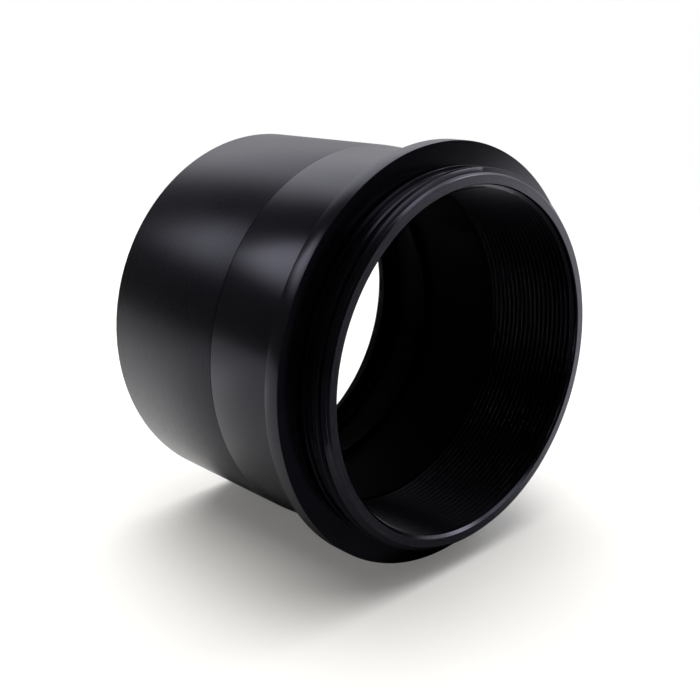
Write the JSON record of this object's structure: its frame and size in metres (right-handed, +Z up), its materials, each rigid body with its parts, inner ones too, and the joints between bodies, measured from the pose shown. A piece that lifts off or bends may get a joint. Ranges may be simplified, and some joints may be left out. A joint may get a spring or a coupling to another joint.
{
  "type": "barlow lens",
  "caption": "Short black two-inch Barlow lens: smooth push-in barrel with a tapered neck, a flange and a fine male thread, and a negative doublet held in its screw-off rear barrel.",
  "frame": {"origin": "on the optical axis, halfway between the front lip and the rear end of the lens barrel", "axes": "+Y along the optical axis towards the telescope (the smooth barrel end), -Y towards the male thread, +Z up as the part lies on its side"},
  "size_m": [0.0538, 0.0406, 0.0538],
  "materials": {
    "front_body": "black anodised, satin to gloss",
    "lens_barrel": "black anodised, satin",
    "crown_glass": "polished, coated",
    "flint_glass": "polished, coated",
    "retaining_ring": "black anodised, matt"
  },
  "bodies": {
    "front_body": {"front_body": "front_body"},
    "lens_barrel": {"lens_barrel": "lens_barrel", "negative_lens": "crown_glass", "positive_lens": "flint_glass", "lens_retaining_ring": "retaining_ring"}
  },
  "joints": [
    {"name": "lens_barrel_unscrew", "type": "slide", "parent": "front_body", "child": "lens_barrel", "axis": [0, 1, 0], "range_m": [0, 0.008]}
  ]
}
